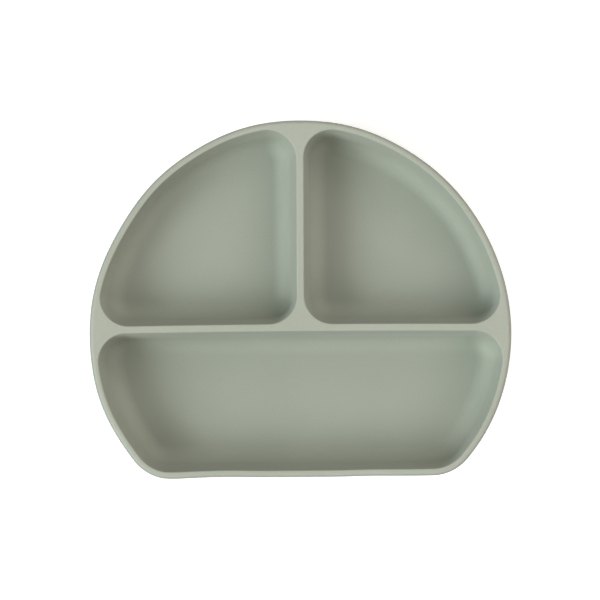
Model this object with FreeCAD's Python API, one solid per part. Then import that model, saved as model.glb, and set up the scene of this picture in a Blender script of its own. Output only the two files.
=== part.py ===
"""Divided suction dish for a baby's high chair, moulded in silicone rubber.

The dish is a round tray with one flat side and three wells: two at the back and a long one along
the flat front.  Under it sits a suction foot: a mount ring bonded to the underside, a thin conical
skirt, and a sealing lip that lies on the table.  Pressing the dish flattens the skirt and drives the
air out; lifting the release tab on the lip's front edge lets it back in.

Millimetres.  +X to the right, +Y to the back, +Z up.  The origin is on the table, at the middle of
the dish's bounding box.  Every moulding is a wall profile swept round an outline of arcs and lines.
"""

import FreeCAD, Part

import math
import os

from FreeCAD import Vector

# Plan of the rim: a circle cut off by a straight front, with rounded corners
WIDTH = 216.0
FRONT_TO_CENTRE = 74.25
CORNER_R = 22.0

# Heights
HEIGHT = 33.0
WELL_DEPTH = 24.0
FLOOR_THICKNESS = 2.5

# Walls of the dish
RIM_WIDTH = 3.4
DIVIDER_WIDTH = 3.6
DIVIDER_TO_CENTRE = 2.2
RIM_BAND = 3.0
OUTER_DRAFT = 14.0
WELL_DRAFT = 10.0
WELL_CORNER_R = 14.5
FLOOR_FILLET = 9.5
BOTTOM_FILLET = 10.8
RIM_OUTER_EDGE = 2.1
RIM_INNER_EDGE = 0.6

# T-shaped groove under the dividers, which leaves the wells as thin cups
GROOVE_HALF_WIDTH = 5.5
GROOVE_DRAFT = 14.0
GROOVE_TOP = 24.0
GROOVE_TOP_R = 0.4
GROOVE_END_INSET = 35.5
GROOVE_END_R = 5.3

# Suction foot, with insets counted from the foot's own outline
FOOT_INSET = 8.5
FOOT_CORNER_R = 24.0
LIP_WIDTH = 5.5
LIP_EDGE_THICKNESS = 1.2
LIP_EDGE_R = 0.48
LIP_ROOT_THICKNESS = 1.8
SKIRT_THICKNESS = 1.4
SKIRT_WIDTH = 6.0
MOUNT_RING_WIDTH = 6.5
MOUNT_RING_THICKNESS = 2.1

# Release tab
TAB_WIDTH = 24.0
TAB_REACH = 6.2
TAB_THICKNESS = 1.5
TAB_LIFT = 0.15
TAB_GAP = 0.15
TAB_CORNER_R = 4.0
TAB_RIB_WIDTH = 0.7
TAB_RIB_HEIGHT = 0.4
TAB_RIB_PITCH = 1.4
TAB_RIB_COUNT = 3

# Worked out from the above
RADIUS = WIDTH / 2
CENTRE_Y = -(RADIUS - FRONT_TO_CENTRE) / 2
UNDERSIDE = HEIGHT - WELL_DEPTH - FLOOR_THICKNESS
FLOOR = HEIGHT - WELL_DEPTH
DIVIDER_Y = CENTRE_Y + DIVIDER_TO_CENTRE
CLEAR = 1.0


def tan(degrees):
    return math.tan(math.radians(degrees))


class Line:
    """A straight side.  Its normal points into the outline, and normal . point = distance on it."""

    def __init__(self, normal_x, normal_y, distance):
        self.normal = Vector(normal_x, normal_y, 0)
        self.distance = distance

    def inset(self, by):
        return Line(self.normal.x, self.normal.y, self.distance + by)

    def foot(self, point):
        return point - self.normal * (self.normal.dot(point) - self.distance)


class Circle:
    """A round side, with the outline inside it."""

    def __init__(self, centre_x, centre_y, radius):
        self.centre = Vector(centre_x, centre_y, 0)
        self.radius = radius

    def inset(self, by):
        return Circle(self.centre.x, self.centre.y, self.radius - by)

    def foot(self, point):
        away = point - self.centre
        return self.centre + away * (self.radius / away.Length)


def crossing(first, second, near):
    """Where two sides cross: a line with a line, or a line with a circle, at the crossing nearest `near`."""
    if isinstance(first, Line) and isinstance(second, Line):
        a, b = first.normal, second.normal
        det = a.x * b.y - a.y * b.x
        x = (first.distance * b.y - second.distance * a.y) / det
        y = (a.x * second.distance - b.x * first.distance) / det
        return Vector(x, y, 0)
    line, circle = (first, second) if isinstance(first, Line) else (second, first)
    middle = line.foot(circle.centre)
    half = math.sqrt(circle.radius**2 - (middle - circle.centre).Length ** 2)
    along = Vector(-line.normal.y, line.normal.x, 0)
    ends = [middle + along * half, middle - along * half]
    return min(ends, key=lambda end: (end - near).Length)


class Outline:
    """A closed outline, counter-clockwise: corners of (side before, side after, radius, rough place).

    The radius of an inside corner is negative.
    """

    def __init__(self, corners):
        self.straights = []
        self.arcs = []
        centres = [crossing(a.inset(r), b.inset(r), Vector(*near, 0)) for a, b, r, near in corners]
        for i, (before, after, radius, _) in enumerate(corners):
            centre, following = centres[i], centres[(i + 1) % len(corners)]
            start, end = before.foot(centre), after.foot(centre)
            self.arcs.append((centre, radius, start, end))
            stop = after.foot(following)
            if isinstance(after, Circle):
                self.arcs.append((after.centre, after.radius, end, stop))
            else:
                self.straights.append((after.normal, end, stop))

    def face(self, inset):
        """The flat face that the outline leaves when every side moves in by `inset`."""
        edges = []
        for normal, start, end in self.straights:
            edges.append(Part.LineSegment(start + normal * inset, end + normal * inset).toShape())
        for centre, radius, start, end in self.arcs:
            if radius < 0 or radius > inset:
                edges.append(arc(centre, radius - inset, start, end).toShape())
        return Part.Face(Part.Wire(Part.__sortEdges__(edges)))

    def sweep(self, profile):
        """A ring: the profile, a face in X = inset and Z = height, carried round the outline."""
        parts = []
        for normal, start, end in self.straights:
            parts.append(placed(profile, start, normal).extrude(end - start))
        for centre, radius, start, end in self.arcs:
            inward = (centre - start) * (1 / radius)
            angle = turn(centre, radius, start, end)
            parts.append(placed(profile, start, inward).revolve(centre, Vector(0, 0, 1), angle))
        return parts

    def solid(self, points, reach):
        """The outline filled in: its wall follows `points` down to `reach` inside, and is flat from there."""
        profile = rounded_polygon(points)
        box = profile.BoundBox
        core = self.face(reach).extrude(Vector(0, 0, box.ZLength))
        core.translate(Vector(0, 0, box.ZMin))
        return joined([core] + self.sweep(profile))

    def ring(self, points):
        return joined(self.sweep(rounded_polygon(points)))


def turn(centre, radius, start, end):
    """Degrees from start to end about centre: counter-clockwise, or clockwise on an inside corner."""
    a, b = start - centre, end - centre
    angle = math.degrees(math.atan2(a.x * b.y - a.y * b.x, a.dot(b))) % 360
    return angle if radius > 0 else angle - 360


def arc(centre, radius, start, end):
    first = math.atan2(start.y - centre.y, start.x - centre.x)
    angles = sorted([first, first + math.radians(turn(centre, radius, start, end))])
    return Part.Arc(Part.Circle(centre, Vector(0, 0, 1), abs(radius)), *angles)


def placed(profile, at, inward):
    """The profile stood up at a point of the outline, with its X along the inward normal."""
    angle = math.degrees(math.atan2(inward.y, inward.x))
    shape = profile.copy()
    shape.Placement = FreeCAD.Placement(at, FreeCAD.Rotation(Vector(0, 0, 1), angle))
    return shape


def rounded_polygon(points):
    """A face in the XZ plane.  Each point is (x, z) or (x, z, radius of its rounded corner)."""
    corners = [(Vector(p[0], 0, p[1]), p[2] if len(p) > 2 else 0) for p in points]
    ends = []
    for i, (here, radius) in enumerate(corners):
        back = (corners[i - 1][0] - here).normalize()
        on = (corners[(i + 1) % len(corners)][0] - here).normalize()
        if not radius:
            ends.append((here, None, here))
            continue
        half = back.getAngle(on) / 2
        length = radius / math.tan(half)
        middle = (back + on).normalize() * (radius / math.sin(half) - radius)
        ends.append((here + back * length, here + middle, here + on * length))
    edges = []
    for i, (start, middle, end) in enumerate(ends):
        if middle is not None:
            edges.append(Part.Arc(start, middle, end).toShape())
        following = ends[(i + 1) % len(ends)][0]
        if (following - end).Length > 1e-6:
            edges.append(Part.LineSegment(end, following).toShape())
    return Part.Face(Part.Wire(edges))


def joined(shapes):
    whole = shapes[0].multiFuse(shapes[1:]).removeSplitter()
    return whole.Solids[0] if len(whole.Solids) == 1 else whole


def mirrored(shape):
    return shape.mirror(Vector(0, 0, 0), Vector(1, 0, 0))


def d_outline(inset, corner_r):
    """The dish's plan, moved in by `inset`, with corners of its own radius."""
    rim = Circle(0, CENTRE_Y, RADIUS - inset)
    front = Line(0, 1, CENTRE_Y - FRONT_TO_CENTRE + inset)
    front_y = CENTRE_Y - FRONT_TO_CENTRE
    return Outline([(rim, front, corner_r, (-RADIUS, front_y)), (front, rim, corner_r, (RADIUS, front_y))])


def right_well_outline():
    rim = Circle(0, CENTRE_Y, RADIUS - RIM_WIDTH)
    centre_divider = Line(1, 0, DIVIDER_WIDTH / 2)
    cross_divider = Line(0, 1, DIVIDER_Y + DIVIDER_WIDTH / 2)
    return Outline(
        [
            (cross_divider, rim, WELL_CORNER_R, (RADIUS, DIVIDER_Y)),
            (rim, centre_divider, WELL_CORNER_R, (0, RADIUS)),
            (centre_divider, cross_divider, WELL_CORNER_R, (0, DIVIDER_Y)),
        ]
    )


def front_well_outline():
    rim = Circle(0, CENTRE_Y, RADIUS - RIM_WIDTH)
    front = Line(0, 1, CENTRE_Y - FRONT_TO_CENTRE + RIM_WIDTH)
    cross_divider = Line(0, -1, -(DIVIDER_Y - DIVIDER_WIDTH / 2))
    front_corner = CORNER_R - RIM_WIDTH
    front_y = CENTRE_Y - FRONT_TO_CENTRE
    return Outline(
        [
            (front, rim, front_corner, (RADIUS, front_y)),
            (rim, cross_divider, WELL_CORNER_R, (RADIUS, DIVIDER_Y)),
            (cross_divider, rim, WELL_CORNER_R, (-RADIUS, DIVIDER_Y)),
            (rim, front, front_corner, (-RADIUS, front_y)),
        ]
    )


def well_profile():
    """Half-section of a well: rounded rim edge, drafted wall, filleted floor."""
    slope = WELL_DEPTH * tan(WELL_DRAFT)
    return [
        (WELL_CORNER_R, HEIGHT + CLEAR),
        (-CLEAR, HEIGHT + CLEAR),
        (-CLEAR, HEIGHT),
        (0, HEIGHT, RIM_INNER_EDGE),
        (slope, FLOOR, FLOOR_FILLET),
        (WELL_CORNER_R, FLOOR),
    ]


def groove():
    """The T-shaped groove, as the solid to cut.  Its sides run beside the wells."""
    half = GROOVE_HALF_WIDTH
    cup_corner = WELL_CORNER_R + DIVIDER_WIDTH / 2 - half
    arm = RADIUS - GROOVE_END_INSET

    bottom, top = Line(0, 1, DIVIDER_Y - half), Line(0, -1, -DIVIDER_Y - half)
    right, left = Line(-1, 0, -arm), Line(1, 0, -arm)
    stem_right, stem_left = Line(-1, 0, -half), Line(1, 0, -half)
    stem_end = Line(0, -1, -CENTRE_Y - arm)
    sides = [bottom, right, top, stem_right, stem_end, stem_left, top, left]
    inside = [(top, stem_right), (stem_left, top)]
    corners = []
    for i, before in enumerate(sides):
        after = sides[(i + 1) % len(sides)]
        radius = -cup_corner if (before, after) in inside else GROOVE_END_R
        corners.append((before, after, radius, (0, 0)))

    slope = (GROOVE_TOP - UNDERSIDE) * tan(GROOVE_DRAFT)
    reach = slope + GROOVE_TOP_R
    flare = BOTTOM_FILLET * tan((90 - GROOVE_DRAFT) / 2) + CLEAR
    return Outline(corners).solid(
        [
            (reach, UNDERSIDE - CLEAR),
            (-flare, UNDERSIDE - CLEAR),
            (-flare, UNDERSIDE),
            (0, UNDERSIDE, BOTTOM_FILLET),
            (slope, GROOVE_TOP, GROOVE_TOP_R),
            (reach, GROOVE_TOP),
        ],
        reach,
    )


def dish_shell():
    band_foot = HEIGHT - RIM_BAND
    slope = (band_foot - UNDERSIDE) * tan(OUTER_DRAFT)
    body = d_outline(0, CORNER_R).solid(
        [
            (CORNER_R, HEIGHT),
            (0, HEIGHT, RIM_OUTER_EDGE),
            (0, band_foot),
            (slope, UNDERSIDE, BOTTOM_FILLET),
            (CORNER_R, UNDERSIDE),
        ],
        CORNER_R,
    )
    back_well = right_well_outline().solid(well_profile(), WELL_CORNER_R)
    front_well = front_well_outline().solid(well_profile(), WELL_CORNER_R)
    return body.cut([groove(), back_well, mirrored(back_well), front_well])


def mount_ring():
    """The bonding flange of the suction foot, flat against the dish's underside."""
    outer = LIP_WIDTH + SKIRT_WIDTH
    inner = outer + MOUNT_RING_WIDTH
    bottom = UNDERSIDE - MOUNT_RING_THICKNESS
    return d_outline(FOOT_INSET, FOOT_CORNER_R).ring(
        [
            (inner, UNDERSIDE),
            (outer, UNDERSIDE),
            (outer, bottom),
            (inner, bottom, MOUNT_RING_THICKNESS / 2),
        ]
    )


def suction_skirt():
    """The thin conical web that lets the dish travel down towards the lip."""
    outer = LIP_WIDTH + SKIRT_WIDTH
    bottom = UNDERSIDE - MOUNT_RING_THICKNESS
    lip_side = LIP_ROOT_THICKNESS - SKIRT_THICKNESS
    return d_outline(FOOT_INSET, FOOT_CORNER_R).ring(
        [
            (LIP_WIDTH, lip_side),
            (outer, bottom),
            (outer, bottom + SKIRT_THICKNESS),
            (LIP_WIDTH, LIP_ROOT_THICKNESS),
        ]
    )


def sealing_lip():
    return d_outline(FOOT_INSET, FOOT_CORNER_R).ring(
        [
            (LIP_WIDTH, 0),
            (LIP_WIDTH, LIP_ROOT_THICKNESS),
            (0, LIP_EDGE_THICKNESS, LIP_EDGE_R),
            (0, 0, LIP_EDGE_R),
        ]
    )


def tab_hinge():
    """The point on the tab's hinge axis at X = 0.  The axis runs along X."""
    lip_front = CENTRE_Y - FRONT_TO_CENTRE + FOOT_INSET
    return Vector(0, lip_front - TAB_GAP - TAB_THICKNESS / 2, TAB_LIFT + TAB_THICKNESS / 2)


def release_tab():
    """A tongue with a round root on its hinge axis and ribs along its free edge to grip it by."""
    hinge = tab_hinge()
    half = TAB_WIDTH / 2
    tip = hinge.y - TAB_REACH
    bottom = hinge.z - TAB_THICKNESS / 2
    tongue = Part.makeBox(TAB_WIDTH, TAB_REACH, TAB_THICKNESS, Vector(-half, tip, bottom))
    corners = [
        edge
        for edge in tongue.Edges
        if edge.BoundBox.ZLength > TAB_THICKNESS / 2 and edge.BoundBox.YMax < hinge.y - TAB_REACH / 2
    ]
    tongue = tongue.makeFillet(TAB_CORNER_R, corners)
    root = Part.makeCylinder(TAB_THICKNESS / 2, TAB_WIDTH, Vector(-half, hinge.y, hinge.z), Vector(1, 0, 0))
    ribs = []
    for i in range(TAB_RIB_COUNT):
        rib_y = tip + TAB_RIB_PITCH * (i + 0.6)
        length = TAB_WIDTH - 2 * TAB_CORNER_R
        ribs.append(
            Part.makeBox(
                length,
                TAB_RIB_WIDTH,
                TAB_THICKNESS + TAB_RIB_HEIGHT,
                Vector(-length / 2, rib_y, bottom),
            )
        )
    return joined([tongue, root] + ribs)


def main():
    os.makedirs("parts", exist_ok=True)
    for make in (dish_shell, mount_ring, suction_skirt, sealing_lip, release_tab):
        shape = make()
        print(
            f"{make.__name__}: valid {shape.isValid()}, solids {len(shape.Solids)},"
            f" faces {len(shape.Faces)}, {shape.Volume / 1000:.1f} cm3"
        )
        shape.exportStep(f"parts/{make.__name__}.step")


main()
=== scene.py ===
"""The looks of the divided suction dish: soft, matte, sage-green silicone, seen from straight above.

Every moulding is a skin of quads carried round an outline of arcs and lines, with its flat areas
filled in.  The shapes are worked out in millimetres and turned into metres when a mesh is made.
"""

import math

import bmesh
import bpy
import numpy as np
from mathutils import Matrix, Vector
from mathutils.geometry import delaunay_2d_cdt


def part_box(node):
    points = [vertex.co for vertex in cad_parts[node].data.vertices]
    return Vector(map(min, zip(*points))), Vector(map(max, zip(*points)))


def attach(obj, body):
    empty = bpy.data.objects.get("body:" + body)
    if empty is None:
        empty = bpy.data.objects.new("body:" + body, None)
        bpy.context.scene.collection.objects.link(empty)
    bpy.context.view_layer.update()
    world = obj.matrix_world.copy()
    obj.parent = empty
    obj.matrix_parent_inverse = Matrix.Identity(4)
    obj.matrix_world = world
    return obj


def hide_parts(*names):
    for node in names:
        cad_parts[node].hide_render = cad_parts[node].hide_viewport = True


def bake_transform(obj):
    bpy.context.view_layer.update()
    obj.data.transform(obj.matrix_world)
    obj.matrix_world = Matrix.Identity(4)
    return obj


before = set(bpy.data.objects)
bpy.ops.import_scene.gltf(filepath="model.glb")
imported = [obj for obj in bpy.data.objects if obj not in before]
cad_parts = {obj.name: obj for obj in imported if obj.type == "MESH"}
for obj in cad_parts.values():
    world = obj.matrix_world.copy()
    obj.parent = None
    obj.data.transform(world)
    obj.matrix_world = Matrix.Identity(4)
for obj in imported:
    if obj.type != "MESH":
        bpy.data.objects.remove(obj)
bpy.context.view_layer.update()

MM = 0.001

# ---------------------------------------------------------------- sizes, in millimetres and degrees
shell_low, shell_high = (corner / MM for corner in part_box("dish_shell"))
lip_low, lip_high = (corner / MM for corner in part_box("sealing_lip"))
ring_low, ring_high = (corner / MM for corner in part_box("mount_ring"))
skirt_low, skirt_high = (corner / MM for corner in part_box("suction_skirt"))
tab_low, tab_high = (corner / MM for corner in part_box("release_tab"))

RADIUS = shell_high.x
FRONT_Y = shell_low.y
CENTRE_Y = shell_high.y - RADIUS
HEIGHT = shell_high.z
UNDERSIDE = shell_low.z
CORNER_R = 22.0
RIM_BAND = 3.0
RIM_WIDTH = 3.4
RIM_OUTER_EDGE = 2.1
RIM_INNER_EDGE = 0.6
OUTER_DRAFT = 14.0
BOTTOM_FILLET = 10.8

WELL_DEPTH = 24.0
WELL_DRAFT = 10.0
WELL_CORNER_R = 14.5
FLOOR_FILLET = 9.5
FLOOR = HEIGHT - WELL_DEPTH
DIVIDER_WIDTH = 3.6
DIVIDER_TO_CENTRE = 2.2
DIVIDER_Y = CENTRE_Y + DIVIDER_TO_CENTRE

GROOVE_HALF_WIDTH = 5.5
GROOVE_DRAFT = 14.0
GROOVE_TOP = 24.0
GROOVE_END_INSET = 35.5
GROOVE_ARM = RADIUS - GROOVE_END_INSET
GROOVE_END_R = 5.3
GROOVE_TOP_FILLET = 0.4

FOOT_INSET = RADIUS - lip_high.x
FOOT_CORNER_R = 24.0


def tan(degrees):
    return math.tan(math.radians(degrees))


def fillet_reach(radius, draft):
    """How far a fillet reaches along a level face from its corner with a wall of this draft."""
    return radius * tan((90 - draft) / 2)


# ---------------------------------------------------------------- outlines
class Line:
    """A straight side.  Its normal points into the outline, and normal . point = distance on it."""

    def __init__(self, normal_x, normal_y, distance):
        self.normal = Vector((normal_x, normal_y))
        self.distance = distance

    def inset(self, by):
        return Line(*self.normal, self.distance + by)

    def foot(self, point):
        return point - self.normal * (self.normal.dot(point) - self.distance)


class Circle:
    """A round side, with the outline inside it."""

    def __init__(self, centre_x, centre_y, radius):
        self.centre = Vector((centre_x, centre_y))
        self.radius = radius

    def inset(self, by):
        return Circle(*self.centre, self.radius - by)

    def foot(self, point):
        return self.centre + (point - self.centre).normalized() * self.radius


def crossing(first, second, near):
    """Where two sides cross, of which one is a line: with a circle, at the crossing nearest `near`."""
    if isinstance(first, Line) and isinstance(second, Line):
        a, b = first.normal, second.normal
        det = a.x * b.y - a.y * b.x
        x = (first.distance * b.y - second.distance * a.y) / det
        y = (a.x * second.distance - b.x * first.distance) / det
        return Vector((x, y))
    line, circle = (first, second) if isinstance(first, Line) else (second, first)
    middle = line.foot(circle.centre)
    half = math.sqrt(circle.radius**2 - (middle - circle.centre).length_squared)
    along = Vector((-line.normal.y, line.normal.x)) * half
    return min((middle + along, middle - along), key=lambda end: (end - near).length)


class Outline:
    """A closed outline, counter-clockwise, as points a few millimetres apart with their inward normals.

    It is made from its corners: (side before, side after, radius, rough place), and the radius of an
    inside corner is negative.
    """

    STEP = 2.6
    ARC_STEP = math.radians(7.5)

    def __init__(self, corners):
        self.points = []
        self.normals = []
        centres = [crossing(a.inset(r), b.inset(r), Vector(near)) for a, b, r, near in corners]
        for i, (before, after, radius, _) in enumerate(corners):
            centre, following = centres[i], centres[(i + 1) % len(corners)]
            start, end = before.foot(centre), after.foot(centre)
            self.add_arc(centre, radius, start, end)
            stop = after.foot(following)
            if isinstance(after, Circle):
                self.add_arc(after.centre, after.radius, end, stop)
            else:
                self.add_line(after.normal, end, stop)
        self.points = np.array(self.points)
        self.normals = np.array(self.normals)

    def add_arc(self, centre, radius, start, end):
        a, b = start - centre, end - centre
        turn = math.atan2(a.x * b.y - a.y * b.x, a.dot(b)) % math.tau
        if radius < 0:
            turn -= math.tau
        step = min(self.ARC_STEP, self.STEP / abs(radius))
        count = max(2, math.ceil(abs(turn) / step))
        first = math.atan2(a.y, a.x)
        for i in range(count):
            angle = first + turn * i / count
            out = np.array([math.cos(angle), math.sin(angle)])
            self.points.append(np.array(centre) + out * abs(radius))
            self.normals.append(-out if radius > 0 else out)

    def add_line(self, normal, start, end):
        count = max(1, math.ceil((end - start).length / self.STEP))
        for i in range(count):
            self.points.append(np.array(start.lerp(end, i / count)))
            self.normals.append(np.array(normal))

    def at(self, inset):
        return self.points + self.normals * inset

    def mirrored(self):
        """The outline on the other side of X = 0, still counter-clockwise."""
        twin = object.__new__(Outline)
        twin.points = self.points[::-1] * (-1, 1)
        twin.normals = self.normals[::-1] * (-1, 1)
        return twin


def d_outline(inset, corner_r):
    """The dish's plan, moved in by `inset`, with corners of its own radius."""
    rim = Circle(0, CENTRE_Y, RADIUS - inset)
    front = Line(0, 1, FRONT_Y + inset)
    return Outline([(rim, front, corner_r, (-RADIUS, FRONT_Y)), (front, rim, corner_r, (RADIUS, FRONT_Y))])


def right_well_outline():
    rim = Circle(0, CENTRE_Y, RADIUS - RIM_WIDTH)
    centre_divider = Line(1, 0, DIVIDER_WIDTH / 2)
    cross_divider = Line(0, 1, DIVIDER_Y + DIVIDER_WIDTH / 2)
    return Outline(
        [
            (cross_divider, rim, WELL_CORNER_R, (RADIUS, DIVIDER_Y)),
            (rim, centre_divider, WELL_CORNER_R, (0, RADIUS)),
            (centre_divider, cross_divider, WELL_CORNER_R, (0, DIVIDER_Y)),
        ]
    )


def front_well_outline():
    rim = Circle(0, CENTRE_Y, RADIUS - RIM_WIDTH)
    front = Line(0, 1, FRONT_Y + RIM_WIDTH)
    cross_divider = Line(0, -1, -(DIVIDER_Y - DIVIDER_WIDTH / 2))
    front_corner = CORNER_R - RIM_WIDTH
    return Outline(
        [
            (front, rim, front_corner, (RADIUS, FRONT_Y)),
            (rim, cross_divider, WELL_CORNER_R, (RADIUS, DIVIDER_Y)),
            (cross_divider, rim, WELL_CORNER_R, (-RADIUS, DIVIDER_Y)),
            (rim, front, front_corner, (-RADIUS, FRONT_Y)),
        ]
    )


def groove_outline():
    half = GROOVE_HALF_WIDTH
    cup_corner = WELL_CORNER_R + DIVIDER_WIDTH / 2 - half
    bottom, top = Line(0, 1, DIVIDER_Y - half), Line(0, -1, -DIVIDER_Y - half)
    right, left = Line(-1, 0, -GROOVE_ARM), Line(1, 0, -GROOVE_ARM)
    stem_right, stem_left = Line(-1, 0, -half), Line(1, 0, -half)
    stem_end = Line(0, -1, -CENTRE_Y - GROOVE_ARM)
    sides = [bottom, right, top, stem_right, stem_end, stem_left, top, left]
    hollow = [(top, stem_right), (stem_left, top)]
    corners = []
    for i, before in enumerate(sides):
        after = sides[(i + 1) % len(sides)]
        radius = -cup_corner if (before, after) in hollow else GROOVE_END_R
        corners.append((before, after, radius, (0, 0)))
    return Outline(corners)


# ---------------------------------------------------------------- profiles
def rounded(points, lead, step=9.0):
    """A profile of (inset, height) points.  A point may add the radius of its corner, which becomes an
    arc in steps of some degrees.  One more point goes a little way, the lead, before the arc and one
    after it, so that the flats beside it shade as flats."""
    corners = [(Vector(p[:2]), p[2] if len(p) > 2 else 0) for p in points]
    result = []
    for i, (here, radius) in enumerate(corners):
        if not radius:
            result.append(here)
            continue
        back = (corners[i - 1][0] - here).normalized()
        on = (corners[i + 1][0] - here).normalized()
        half = back.angle(on) / 2
        length = radius / math.tan(half)
        centre = here + (back + on).normalized() * (radius / math.sin(half))
        first, last = here + back * length, here + on * length
        count = max(3, math.ceil((180 - math.degrees(2 * half)) / step))
        result.append(first + back * lead)
        start, turn = first - centre, (first - centre).angle_signed(last - centre)
        for j in range(count + 1):
            angle = -turn * j / count
            cos, sin = math.cos(angle), math.sin(angle)
            spoke = Vector((start.x * cos - start.y * sin, start.x * sin + start.y * cos))
            result.append(centre + spoke)
        result.append(last + on * lead)
    return [tuple(p) for p in result]


# ---------------------------------------------------------------- skins
def inside(points, loop):
    """Which of the points lie inside the closed loop."""
    x, y = points[:, 0:1], points[:, 1:2]
    ax, ay = loop[:, 0], loop[:, 1]
    bx, by = np.roll(ax, -1), np.roll(ay, -1)
    spans = (ay > y) != (by > y)
    rise = np.where(by == ay, 1, by - ay)
    crossings = spans & (x < ax + (y - ay) * (bx - ax) / rise)
    return crossings.sum(1) % 2 == 1


class Skin:
    """A mesh under construction, in millimetres, with a value at each vertex for how near the outer
    edge it is: 1 on the edge, and 0 beyond its reach.  The value masks the painted shade there."""

    MERGE = 1e-4
    EDGE_REACH = 1.6
    # Points inside a flat area stay this part of a step clear of its border
    BORDER_GAP = 0.55
    # Asks the triangulation for the area inside the borders
    CDT_INSIDE = 1
    # Two triangles join in a quad when they are this flat and this square, in radians
    JOIN_FLATNESS = 0.1
    JOIN_SQUARENESS = 0.8

    def __init__(self):
        self.vertices = []
        self.edge_values = []
        self.faces = []

    def add(self, points, edge_value=0.0):
        first = len(self.vertices)
        self.vertices.extend(tuple(p) for p in points)
        values = np.broadcast_to(edge_value, (len(points),))
        self.edge_values.extend(float(v) for v in values)
        return first

    def sweep(self, outline, profile, edge=None):
        """Carries the profile, listed with the solid on its left, round the outline."""
        n = len(outline.points)
        firsts = []
        for inset, z in profile:
            ring = np.column_stack([outline.at(inset), np.full(n, z)])
            near = 1 - math.dist((inset, z), edge) / self.EDGE_REACH if edge else 0
            firsts.append(self.add(ring, max(0, near)))
        for low, high in zip(firsts, firsts[1:]):
            for i in range(n):
                j = (i + 1) % n
                self.faces.append((low + i, low + j, high + j, high + i))

    def fill(self, outer, holes, z, step, up):
        """Fills the flat area between loops with evenly spread faces."""
        loops = [outer] + list(holes)
        coords = [Vector(p) for loop in loops for p in loop]
        edges = []
        first = 0
        for loop in loops:
            n = len(loop)
            edges += [(first + i, first + (i + 1) % n) for i in range(n)]
            first += n
        spread = self.grid(loops, step)
        coords += [Vector(p) for p in spread]
        found, _, triangles, *_ = delaunay_2d_cdt(coords, edges, [], self.CDT_INSIDE, self.MERGE)
        found = np.array([tuple(v) for v in found])
        middles = found[np.array(triangles)].mean(1)
        keep = inside(middles, outer)
        for hole in holes:
            keep &= ~inside(middles, hole)
        base = self.add(np.column_stack([found, np.full(len(found), z)]))
        for triangle, kept in zip(triangles, keep):
            if kept:
                a, b, c = (base + v for v in triangle)
                self.faces.append((a, b, c) if up else (a, c, b))

    def grid(self, loops, step):
        """Points of a triangular grid inside the first loop, outside the others and clear of them all."""
        low, high = loops[0].min(0), loops[0].max(0)
        row = step * math.sqrt(3) / 2
        points = [
            (low[0] + (i + j % 2 / 2) * step, low[1] + j * row)
            for j in range(int((high[1] - low[1]) / row) + 1)
            for i in range(int((high[0] - low[0]) / step) + 1)
        ]
        points = np.array(points)
        keep = inside(points, loops[0])
        for hole in loops[1:]:
            keep &= ~inside(points, hole)
        points = points[keep]
        everything = np.concatenate(loops)
        gaps = np.sqrt(((points[:, None] - everything[None]) ** 2).sum(2)).min(1)
        return points[gaps > step * self.BORDER_GAP]

    def build(self, name, shape=None):
        """Makes the object: joined, in quads where triangles pair up, smooth, and in metres."""
        vertices = np.array(self.vertices)
        if shape:
            vertices = shape(vertices)
        mesh = bpy.data.meshes.new(name)
        mesh.from_pydata((vertices * MM).tolist(), [], self.faces)
        attribute = mesh.attributes.new("edge_shade", "FLOAT", "POINT")
        attribute.data.foreach_set("value", self.edge_values)
        bm = bmesh.new()
        bm.from_mesh(mesh)
        bmesh.ops.remove_doubles(bm, verts=bm.verts, dist=self.MERGE * MM)
        bmesh.ops.dissolve_degenerate(bm, edges=bm.edges, dist=self.MERGE * MM)
        triangles = [f for f in bm.faces if len(f.verts) == 3]
        bmesh.ops.join_triangles(
            bm,
            faces=triangles,
            angle_face_threshold=self.JOIN_FLATNESS,
            angle_shape_threshold=self.JOIN_SQUARENESS,
        )
        bmesh.ops.recalc_face_normals(bm, faces=bm.faces)
        for f in bm.faces:
            f.smooth = True
        bm.to_mesh(mesh)
        bm.free()
        piece = bpy.data.objects.new(name, mesh)
        bpy.context.scene.collection.objects.link(piece)
        return piece


# ---------------------------------------------------------------- how the soft rim sits
# Where the round rim stands out (+) or in (-): (bearing from the circle's centre and width, both in
# degrees, and amount in millimetres).  Most amounts came from a least-squares fit to the real rim's
# outline.  They were rounded, and some were then changed.
RIM_SWAYS = [
    (199, 12, 0.7),
    (215, 12, -0.3),
    (172, 9, 0.1),
    (149, 14, -1.25),
    (121, 10, -0.25),
    (103, 14, 0.75),
    (76, 12, 0.7),
    (27, 16, -0.5),
    (8, 14, -0.1),
    (318, 11, -0.95),
]
# Where the straight front does, all in millimetres: (x, width, amount), chosen from measured
# differences
FRONT_SWAYS = [(-66, 10, 0.45), (-38, 16, -0.4), (0, 16, -0.1), (38, 16, -0.4), (66, 10, 0.15)]
# The rim's sway fades towards the middle of the dish, and the front's over this much behind it
SWAY_FADE_FROM = 62.0
SWAY_FADE_TO = 98.0
FRONT_FADE = 25.0
# How the dividers sit: the long one bows, its middle to the back and its ends to the front, and the
# short one leans to the right
CROSS_BOW = 0.25
CROSS_BOW_ENDS = 3
CROSS_FADE_FROM = 8.0
CROSS_FADE_TO = 40.0
STEM_LEAN = 0.004
DIVIDER_FADE_FROM = 84.0
DIVIDER_FADE_TO = 102.0


def smooth(x, low, high):
    """0 below low and 1 above high, with a soft step between."""
    t = np.clip((x - low) / (high - low), 0, 1)
    return t * t * (3 - 2 * t)


def bumps(sways, at):
    """The sum of bell-shaped bumps, each (centre, width, amount)."""
    return sum(amount * np.exp(-(((at - centre) / width) ** 2)) for centre, width, amount in sways)


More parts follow.
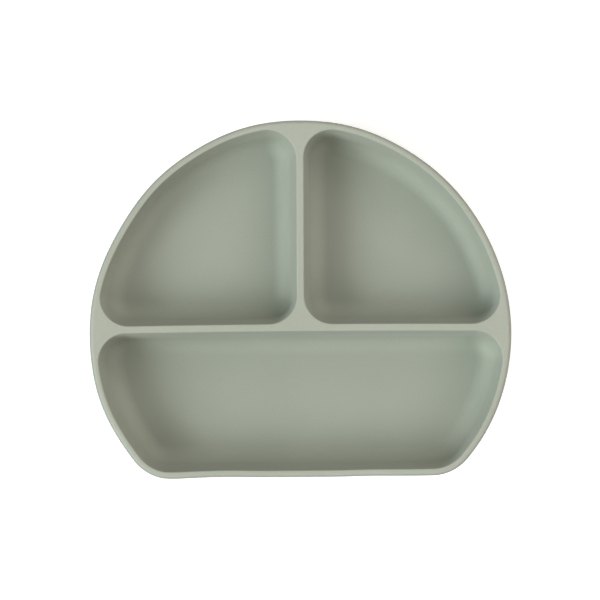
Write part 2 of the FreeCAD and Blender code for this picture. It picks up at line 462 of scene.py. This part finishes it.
def soft_set(vertices):
    """Bends the rim and the dividers a little, as soft silicone does, and leaves the floors alone."""
    x, y, z = vertices.T
    dx, dy = x, y - CENTRE_Y
    reach = np.hypot(dx, dy)
    bearing = np.degrees(np.arctan2(dy, dx)) % 360
    top = smooth(z, FLOOR, HEIGHT)
    sway = sum(bumps(RIM_SWAYS, bearing + turn) for turn in (-360, 0, 360))
    sway *= top * smooth(reach, SWAY_FADE_FROM, SWAY_FADE_TO)
    scale = 1 + sway / np.maximum(reach, 1)
    front = bumps(FRONT_SWAYS, x) * top * smooth(-y, -FRONT_Y - FRONT_FADE, -FRONT_Y)
    middle = top * (1 - smooth(reach, DIVIDER_FADE_FROM, DIVIDER_FADE_TO))
    bow = CROSS_BOW * (1 - CROSS_BOW_ENDS * (x / RADIUS) ** 2) * middle
    bow *= 1 - smooth(abs(y - DIVIDER_Y), CROSS_FADE_FROM, CROSS_FADE_TO)
    lean = STEM_LEAN * dy * middle
    return np.column_stack([dx * scale + lean, dy * scale + CENTRE_Y - front + bow, z])


# ---------------------------------------------------------------- dish
PARTING_LINE = 0.12
PARTING_LINE_SPREAD = 2.5
LEAD = 0.12
GROOVE_LEAD = 0.1
# How far the flats run on past the fillets, before the evenly spread faces begin
OUTER_FLAT = 1.0
WELL_FLAT = 0.5
GROOVE_FLAT = 0.5
GROOVE_TOP_FLAT = 0.6
# The line of painted shade round the outside of the rim lies this far below its top
EDGE_SHADE_DEPTH = 1.2
# The size of the faces on the flats
FLOOR_MESH = 4.0
GROOVE_MESH = 2.0
RIM_MESH = 2.2


def outer_profile():
    """From the underside round the bottom and up the wall to the rim, with the mould's parting line."""
    band_foot = HEIGHT - RIM_BAND
    slope = (band_foot - UNDERSIDE) * tan(OUTER_DRAFT)
    flat = slope + fillet_reach(BOTTOM_FILLET, OUTER_DRAFT) + OUTER_FLAT
    beside = PARTING_LINE * PARTING_LINE_SPREAD
    return rounded(
        [
            (flat, UNDERSIDE),
            (slope, UNDERSIDE, BOTTOM_FILLET),
            (beside * tan(OUTER_DRAFT), band_foot - beside),
            (-PARTING_LINE, band_foot),
            (0, band_foot + beside),
            (0, HEIGHT, RIM_OUTER_EDGE),
            (RIM_OUTER_EDGE + 2 * LEAD, HEIGHT),
        ],
        LEAD,
    )


def well_profile():
    """From the rim, over its inner edge and down the wall to the floor."""
    slope = WELL_DEPTH * tan(WELL_DRAFT)
    flat = slope + fillet_reach(FLOOR_FILLET, WELL_DRAFT) + WELL_FLAT
    return rounded(
        [
            (-RIM_INNER_EDGE - LEAD, HEIGHT),
            (0, HEIGHT, RIM_INNER_EDGE),
            (slope, FLOOR, FLOOR_FILLET),
            (flat, FLOOR),
        ],
        LEAD,
    )


def groove_profile():
    """From the underside, round into the groove between the wells and up to its top."""
    slope = (GROOVE_TOP - UNDERSIDE) * tan(GROOVE_DRAFT)
    flare = fillet_reach(BOTTOM_FILLET, GROOVE_DRAFT) + GROOVE_FLAT
    return rounded(
        [
            (-flare, UNDERSIDE),
            (0, UNDERSIDE, BOTTOM_FILLET),
            (slope, GROOVE_TOP, GROOVE_TOP_FILLET),
            (slope + GROOVE_TOP_FLAT, GROOVE_TOP),
        ],
        GROOVE_LEAD,
    )


def make_dish():
    skin = Skin()
    rim = d_outline(0, CORNER_R)
    right_well = right_well_outline()
    wells = [right_well, right_well.mirrored(), front_well_outline()]
    groove = groove_outline()
    outside, well, under = outer_profile(), well_profile(), groove_profile()

    # The rim's outside gets the values that place its line of painted shade
    skin.sweep(rim, outside, edge=(0, HEIGHT - EDGE_SHADE_DEPTH))
    for outline in wells:
        skin.sweep(outline, well)
        skin.fill(outline.at(well[-1][0]), [], FLOOR, FLOOR_MESH, up=True)
    skin.sweep(groove, under)
    skin.fill(groove.at(under[-1][0]), [], GROOVE_TOP, GROOVE_MESH, up=False)
    skin.fill(rim.at(outside[-1][0]), [w.at(well[0][0]) for w in wells], HEIGHT, RIM_MESH, up=True)
    skin.fill(rim.at(outside[0][0]), [groove.at(under[0][0])], UNDERSIDE, FLOOR_MESH, up=False)
    return skin.build("dish", soft_set)


# ---------------------------------------------------------------- suction foot
RING_WIDTH = 6.5
RING_OUTER_EDGE = 0.5
RING_INNER_EDGE = 0.9
# The flange goes this far into the dish's underside, so that no gap shows between them
BOND = 0.2
SKIRT_WIDTH = skirt_high.x - ring_high.x
SKIRT_THICKNESS = 1.4
# The skirt's ends go this far into the lip and the flange
SKIRT_TUCK = 0.5
LIP_WIDTH = lip_high.x - skirt_high.x
LIP_EDGE_THICKNESS = 1.2
LIP_MIDDLE_DROP = 0.3
LIP_EDGE_R = 0.5
LIP_ROOT_R = 0.4
FOOT_ARC_STEP = 15.0
FOOT_LEAD = 0.1


def make_ring(name, points):
    """A closed profile carried round the foot's outline."""
    skin = Skin()
    skin.sweep(d_outline(FOOT_INSET, FOOT_CORNER_R), rounded(points + points[:1], FOOT_LEAD, FOOT_ARC_STEP))
    return skin.build(name)


def make_mount_ring():
    outer = LIP_WIDTH + SKIRT_WIDTH
    inner = outer + RING_WIDTH
    bottom = ring_low.z
    middle = (outer + inner) / 2
    return make_ring(
        "mount_flange",
        [
            (middle, UNDERSIDE + BOND),
            (outer - BOND, UNDERSIDE + BOND),
            (outer - BOND, bottom, RING_OUTER_EDGE),
            (inner, bottom, RING_INNER_EDGE),
            (inner, UNDERSIDE + BOND),
        ],
    )


def make_skirt():
    outer = LIP_WIDTH - SKIRT_TUCK
    inner = LIP_WIDTH + SKIRT_WIDTH + SKIRT_TUCK
    return make_ring(
        "skirt",
        [
            (LIP_WIDTH + SKIRT_WIDTH / 2, (skirt_low.z + ring_low.z) / 2 + SKIRT_THICKNESS),
            (outer, skirt_low.z + SKIRT_THICKNESS),
            (outer, skirt_low.z),
            (inner, ring_low.z),
            (inner, ring_low.z + SKIRT_THICKNESS),
        ],
    )


def make_lip():
    return make_ring(
        "lip",
        [
            (LIP_WIDTH / 2, lip_high.z - LIP_MIDDLE_DROP),
            (0, LIP_EDGE_THICKNESS, LIP_EDGE_R),
            (0, 0, LIP_EDGE_R),
            (LIP_WIDTH, 0, LIP_ROOT_R),
            (LIP_WIDTH, lip_high.z),
        ],
    )


# ---------------------------------------------------------------- release tab
TAB_THICKNESS = 1.5
TAB_CORNER_R = 4.0
TAB_ROOT_R = 0.7
TAB_EDGE_R = 0.55
# The tab goes this far into the lip
TAB_ROOT = 1.6
TAB_RIBS = 3
TAB_RIB_PITCH = 1.4
TAB_RIB_WIDTH = 0.9
# The first rib lies this many pitches behind the tab's front, and each goes this far into the tab
TAB_FIRST_RIB = 0.85
TAB_RIB_SUNK = 0.6
# The ribs' roundness, at their ends and along their edges, as a part of half their width
TAB_RIB_END = 0.95
TAB_RIB_EDGE = 0.8
TAB_MESH = 1.5
TAB_VOXEL = 0.13
TAB_SMOOTHING = 6
SLAB_ARC_STEP = 15.0
SLAB_LEAD = 0.05
SLAB_FLAT = 0.1


def box_outline(low_x, low_y, high_x, high_y, front_r, back_r):
    """A rectangle with rounded corners, the front ones of one radius and the back ones of another."""
    left, right = Line(1, 0, low_x), Line(-1, 0, -high_x)
    front, back = Line(0, 1, low_y), Line(0, -1, -high_y)
    return Outline(
        [
            (left, front, front_r, (0, 0)),
            (front, right, front_r, (0, 0)),
            (right, back, back_r, (0, 0)),
            (back, left, back_r, (0, 0)),
        ]
    )


def add_slab(skin, outline, bottom, top, edge_r):
    """A closed slab with rounded edges."""
    flat = edge_r + SLAB_FLAT
    points = [(flat, bottom), (0, bottom, edge_r), (0, top, edge_r), (flat, top)]
    skin.sweep(outline, rounded(points, SLAB_LEAD, SLAB_ARC_STEP))
    skin.fill(outline.at(flat), [], top, TAB_MESH, up=True)
    skin.fill(outline.at(flat), [], bottom, TAB_MESH, up=False)


def remeshed(piece, voxel, smoothing):
    """Fuses a piece's overlapping slabs into one skin and softens the corners between them."""
    remesh = piece.modifiers.new("fuse", "REMESH")
    remesh.mode = "VOXEL"
    remesh.voxel_size = voxel * MM
    remesh.use_smooth_shade = True
    soften = piece.modifiers.new("soften", "SMOOTH")
    soften.iterations = smoothing
    mesh = bpy.data.meshes.new_from_object(piece.evaluated_get(bpy.context.evaluated_depsgraph_get()))
    piece.modifiers.clear()
    piece.data = mesh
    return piece


def make_tab():
    """A tongue with grip ribs across it, fused into one skin."""
    body_top = tab_low.z + TAB_THICKNESS
    skin = Skin()
    tongue = box_outline(tab_low.x, tab_low.y, tab_high.x, lip_low.y + TAB_ROOT, TAB_CORNER_R, TAB_ROOT_R)
    add_slab(skin, tongue, tab_low.z, body_top, TAB_EDGE_R)
    rib_reach = tab_high.x - TAB_CORNER_R
    half = TAB_RIB_WIDTH / 2
    for i in range(TAB_RIBS):
        y = tab_low.y + TAB_RIB_PITCH * (i + TAB_FIRST_RIB)
        end_r = half * TAB_RIB_END
        rib = box_outline(-rib_reach, y - half, rib_reach, y + half, end_r, end_r)
        add_slab(skin, rib, body_top - TAB_RIB_SUNK, tab_high.z, half * TAB_RIB_EDGE)
    return remeshed(skin.build("tab"), TAB_VOXEL, TAB_SMOOTHING)


# ---------------------------------------------------------------- silicone
# The factor, inputs and output of a Mix node that mixes colours
MIX_FACTOR, MIX_A, MIX_B = 0, 6, 7
MIX_RESULT = 2


class Nodes:
    """A material's nodes, added and linked one short line each."""

    def __init__(self, material):
        material.use_nodes = True
        self.tree = material.node_tree
        self.shader = self.tree.nodes["Principled BSDF"]
        self.place = self.add("ShaderNodeTexCoord").outputs["Object"]

    def add(self, kind, settings=None, **inputs):
        node = self.tree.nodes.new(kind)
        for name, value in (settings or {}).items():
            setattr(node, name, value)
        for name, value in inputs.items():
            self.set(node, name.replace("_", " "), value)
        return node

    def set(self, node, socket, value):
        if isinstance(value, bpy.types.NodeSocket):
            self.tree.links.new(value, node.inputs[socket])
        else:
            node.inputs[socket].default_value = value

    def noise(self, size_mm, detail, roughness=0.5):
        """Noise from 0 to 1 whose features are about this large."""
        node = self.add("ShaderNodeTexNoise", Vector=self.place, Scale=1 / (size_mm * MM))
        node.inputs["Detail"].default_value = detail
        node.inputs["Roughness"].default_value = roughness
        return node.outputs["Fac"]

    def ramp(self, value, low, high, to_low, to_high):
        """A soft step from to_low at low to to_high at high."""
        node = self.add("ShaderNodeMapRange", {"interpolation_type": "SMOOTHSTEP"}, Value=value)
        sockets = ("From Min", "From Max", "To Min", "To Max")
        for socket, number in zip(sockets, (low, high, to_low, to_high)):
            node.inputs[socket].default_value = number
        return node.outputs["Result"]

    def maths(self, operation, a, b):
        node = self.add("ShaderNodeMath", {"operation": operation})
        self.set(node, 0, a)
        self.set(node, 1, b)
        return node.outputs["Value"]

    def mix(self, amount, a, b, blend="MIX"):
        node = self.add("ShaderNodeMix", {"data_type": "RGBA", "blend_type": blend})
        for index, value in ((MIX_FACTOR, amount), (MIX_A, a), (MIX_B, b)):
            self.set(node, index, value)
        return node.outputs[MIX_RESULT]

    def tinted(self, colour, factors):
        return self.mix(1.0, colour, (*factors, 1), "MULTIPLY")

    def bump(self, height, strength, distance_mm, normal=None):
        node = self.add("ShaderNodeBump", Height=height, Strength=strength, Distance=distance_mm * MM)
        if normal is not None:
            self.set(node, "Normal", normal)
        return node.outputs["Normal"]


# The features of the surface: how large they are, in millimetres, and how strong
CLOUD_SIZE = 45
CLOUD_DARK = (0.975, 0.98, 0.97)
CLOUD_LIGHT = (1.025, 1.02, 1.03)
SPECK_SIZE = 0.9
SPECK_DARK = 0.965
SPECK_LIGHT = 1.035
ROUGH_PATCH_SIZE = 12
ROUGH_LOW = 0.56
ROUGH_HIGH = 0.66
WAVE_SIZE = 7
WAVE_HEIGHT = 0.12
WAVE_STRENGTH = 0.25
GRAIN_SIZE = 0.35
GRAIN_HEIGHT = 0.03
# Noise mostly lies between these values
NOISE_LOW = 0.3
NOISE_HIGH = 0.7
SPECK_NOISE_LOW = 0.25
SPECK_NOISE_HIGH = 0.75
# From just below its top the rim is painted paler, painted light, and is a little smoother; along its
# outside it is painted darker, painted shade
PALE_FROM = HEIGHT - 1.8
PALE_TO = HEIGHT - 0.5
RIM_PAINTED_LIGHT = (1.20, 1.17, 1.18)
RIM_SMOOTHER = 0.08
EDGE_PAINTED_SHADE = (0.55, 0.55, 0.55)
# The sealing face, at the very bottom, is polished
POLISHED_TO = 0.05
POLISHED_FROM = 0.15
POLISH = 0.3


def scaled(colour, factors):
    return (*(part * factor for part, factor in zip(colour, factors)), 1)


def make_silicone(name, colour, sheen, grain_strength):
    """Matte silicone: a fine spark-eroded grain and a faint unevenness of pigment.

    Its rim tops are painted paler, painted light for the light that the thin rims let through.
    A line round the outside of the rim is painted darker, painted shade, and the sealing face on the table
    is polished.
    """
    material = bpy.data.materials.new(name)
    n = Nodes(material)
    cloud = n.ramp(n.noise(CLOUD_SIZE, 2), NOISE_LOW, NOISE_HIGH, 0, 1)
    pigment = n.mix(cloud, scaled(colour, CLOUD_DARK), scaled(colour, CLOUD_LIGHT))
    speck = n.noise(SPECK_SIZE, 3, 0.7)
    speck = n.ramp(speck, SPECK_NOISE_LOW, SPECK_NOISE_HIGH, SPECK_DARK, SPECK_LIGHT)
    specked = n.mix(1.0, pigment, speck, "MULTIPLY")
    height = n.add("ShaderNodeSeparateXYZ", Vector=n.place).outputs["Z"]
    # Painted light: from just below its top, the rim is tinted paler
    top = n.ramp(height, PALE_FROM * MM, PALE_TO * MM, 0, 1)
    rim = n.mix(top, specked, n.tinted(specked, RIM_PAINTED_LIGHT))
    # Painted shade: a line round the outside of the rim is tinted darker
    edge = n.add("ShaderNodeAttribute", {"attribute_name": "edge_shade"}).outputs["Fac"]
    n.set(n.shader, "Base Color", n.mix(edge, rim, n.tinted(rim, EDGE_PAINTED_SHADE)))

    rough = n.ramp(n.noise(ROUGH_PATCH_SIZE, 3), NOISE_LOW, NOISE_HIGH, ROUGH_LOW, ROUGH_HIGH)
    polished = n.ramp(height, POLISHED_TO * MM, POLISHED_FROM * MM, POLISH, 0)
    smoother = n.maths("MAXIMUM", n.maths("MULTIPLY", top, RIM_SMOOTHER), polished)
    n.set(n.shader, "Roughness", n.maths("SUBTRACT", rough, smoother))

    waves = n.bump(n.noise(WAVE_SIZE, 2), WAVE_STRENGTH, WAVE_HEIGHT)
    grain = n.bump(n.noise(GRAIN_SIZE, 3, 0.6), grain_strength, GRAIN_HEIGHT, waves)
    n.set(n.shader, "Normal", grain)
    for socket, value in (
        ("IOR", 1.41),
        ("Sheen Weight", sheen),
        ("Sheen Roughness", 0.45),
        ("Subsurface Weight", 0.12),
        ("Subsurface Scale", 0.0015),
        ("Subsurface Radius", (1.0, 1.0, 0.8)),
    ):
        n.shader.inputs[socket].default_value = value
    return material


def dress(piece, material):
    """Gives the piece its material."""
    piece.data.materials.clear()
    piece.data.materials.append(material)


# ---------------------------------------------------------------- the pieces
dish_silicone = make_silicone("dish silicone", (0.310, 0.341, 0.275), sheen=0.12, grain_strength=0.5)
foot_silicone = make_silicone("foot silicone", (0.298, 0.330, 0.271), sheen=0.08, grain_strength=0.3)

dish = make_dish()
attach(dish, "dish")
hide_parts("dish_shell")
dress(dish, dish_silicone)

flange = make_mount_ring()
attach(flange, "dish")
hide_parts("mount_ring")
dress(flange, foot_silicone)

lip = make_lip()
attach(lip, "foot")
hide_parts("sealing_lip")
dress(lip, foot_silicone)

skirt = make_skirt()
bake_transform(skirt)
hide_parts("suction_skirt")
dress(skirt, foot_silicone)

tab = make_tab()
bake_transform(tab)
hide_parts("release_tab")
dress(tab, foot_silicone)


# ---------------------------------------------------------------- studio
# The table is a pale light table, so the dish's shadow on it stays faint
FLOOR_COLOUR = (0.85, 0.85, 0.85, 1)
FLOOR_GLOW = 0.5
FLOOR_PATCH_SIZE = 400
FLOOR_DARK = 0.98
# In metres across, and in millimetres below the dish, so that the two faces don't share a plane
FLOOR_SIZE = 6.0
FLOOR_DROP = 0.05
FLOOR_CUTS = 8


def make_floor():
    """A wide table, which is clear when it is looked at from below."""
    mesh = bpy.data.meshes.new("floor")
    bm = bmesh.new()
    bmesh.ops.create_grid(bm, x_segments=FLOOR_CUTS, y_segments=FLOOR_CUTS, size=FLOOR_SIZE / 2)
    bm.to_mesh(mesh)
    bm.free()
    floor = bpy.data.objects.new("floor", mesh)
    floor.location.z = -FLOOR_DROP * MM
    bpy.context.scene.collection.objects.link(floor)
    material = bpy.data.materials.new("studio floor")
    n = Nodes(material)
    tone = n.ramp(n.noise(FLOOR_PATCH_SIZE, 2), NOISE_LOW, NOISE_HIGH, FLOOR_DARK, 1.0)
    n.set(n.shader, "Base Color", n.mix(1.0, FLOOR_COLOUR, tone, "MULTIPLY"))
    n.shader.inputs["Roughness"].default_value = 0.8
    n.shader.inputs["Specular IOR Level"].default_value = 0.2
    n.shader.inputs["Emission Color"].default_value = (1, 1, 1, 1)
    n.shader.inputs["Emission Strength"].default_value = FLOOR_GLOW
    below = n.add("ShaderNodeNewGeometry").outputs["Backfacing"]
    clear = n.add("ShaderNodeBsdfTransparent").outputs[0]
    sides = n.add("ShaderNodeMixShader")
    for index, value in enumerate((below, n.shader.outputs[0], clear)):
        n.set(sides, index, value)
    n.set(n.tree.nodes["Material Output"], "Surface", sides.outputs[0])
    mesh.materials.append(material)


# Soft lights in the sky, as (azimuth, elevation, strength): a cool one at the front left with a little
# from overhead, and warmer and weaker ones across the right.  Azimuths run from +X round through +Y.
# The numbers and the two colours came from a least-squares fit to the real dish's shading, and were
# rounded.
KEY_GLOWS = [(202, 38, 12.7), (212, 28, 5.5), (178, 37, 2.2), (224, 38, 1.7), (200, 80, 1.3)]
KEY_COLOUR = (0.954, 1.0, 1.036)
FILL_GLOWS = [(318, 36, 5.0), (12, 36, 2.0), (60, 36, 4.6), (24, 22, 1.8), (36, 60, 2.7)]
FILL_COLOUR = (1.078, 1.0, 0.968)
GLOW_TIGHTNESS = 40.0
# What the camera sees beyond the table, in place of the lights
BACKDROP = (1.1, 1.1, 1.1, 1)


def direction(azimuth, elevation):
    """The unit vector that points there."""
    around, up = math.radians(azimuth), math.radians(elevation)
    return Vector((math.cos(around) * math.cos(up), math.sin(around) * math.cos(up), math.sin(up)))


def add_glow(tree, ray, azimuth, elevation, colour):
    """A round glow about a direction of the sky, exp(tightness * (cos(angle) - 1)) times the colour."""
    nodes, links = tree.nodes, tree.links
    cosine = nodes.new("ShaderNodeVectorMath")
    cosine.operation = "DOT_PRODUCT"
    cosine.inputs[1].default_value = direction(azimuth, elevation)
    links.new(ray, cosine.inputs[0])
    steep = nodes.new("ShaderNodeMath")
    steep.operation = "MULTIPLY_ADD"
    steep.inputs[1].default_value = GLOW_TIGHTNESS
    steep.inputs[2].default_value = -GLOW_TIGHTNESS
    links.new(cosine.outputs["Value"], steep.inputs[0])
    fall = nodes.new("ShaderNodeMath")
    fall.operation = "EXPONENT"
    links.new(steep.outputs["Value"], fall.inputs[0])
    glow = nodes.new("ShaderNodeVectorMath")
    glow.operation = "SCALE"
    glow.inputs[0].default_value = colour
    links.new(fall.outputs["Value"], glow.inputs["Scale"])
    return glow.outputs["Vector"]


def make_sky():
    """The glows light the dish, and the camera sees a plain pale backdrop instead of them."""
    world = bpy.data.worlds.new("studio")
    world.use_nodes = True
    tree = world.node_tree
    ray = tree.nodes.new("ShaderNodeTexCoord").outputs["Generated"]
    total = None
    for glows, colour in ((KEY_GLOWS, KEY_COLOUR), (FILL_GLOWS, FILL_COLOUR)):
        for azimuth, elevation, strength in glows:
            glow = add_glow(tree, ray, azimuth, elevation, Vector(colour) * strength)
            if total is not None:
                both = tree.nodes.new("ShaderNodeVectorMath")
                tree.links.new(total, both.inputs[0])
                tree.links.new(glow, both.inputs[1])
                glow = both.outputs["Vector"]
            total = glow
    seen = tree.nodes.new("ShaderNodeMix")
    seen.data_type = "RGBA"
    to_camera = tree.nodes.new("ShaderNodeLightPath").outputs["Is Camera Ray"]
    tree.links.new(to_camera, seen.inputs[MIX_FACTOR])
    tree.links.new(total, seen.inputs[MIX_A])
    seen.inputs[MIX_B].default_value = BACKDROP
    tree.links.new(seen.outputs[MIX_RESULT], tree.nodes["Background"].inputs["Color"])
    bpy.context.scene.world = world


def make_studio():
    make_floor()
    make_sky()
    bpy.context.scene.view_settings.view_transform = "Standard"


# The camera looks straight down through a long lens, turned a little so that the dish leans to the left.
# It stands this many metres above the rim, and sees this many millimetres across at the rim's height
CAMERA_ABOVE_RIM = 2.0
FRAME_WIDTH = 307.1
CLIP_END = 20
LEAN = math.radians(0.45)
LEFT_SHIFT = 0.2
DOWN_SHIFT = 0.35


def make_camera():
    data = bpy.data.cameras.new("camera")
    data.lens = data.sensor_width * CAMERA_ABOVE_RIM / (FRAME_WIDTH * MM)
    data.clip_end = CLIP_END
    camera = bpy.data.objects.new("camera", data)
    camera.location = (-LEFT_SHIFT * MM, -DOWN_SHIFT * MM, HEIGHT * MM + CAMERA_ABOVE_RIM)
    camera.rotation_euler = (0, 0, -LEAN)
    bpy.context.scene.collection.objects.link(camera)
    bpy.context.scene.camera = camera


make_studio()
make_camera()
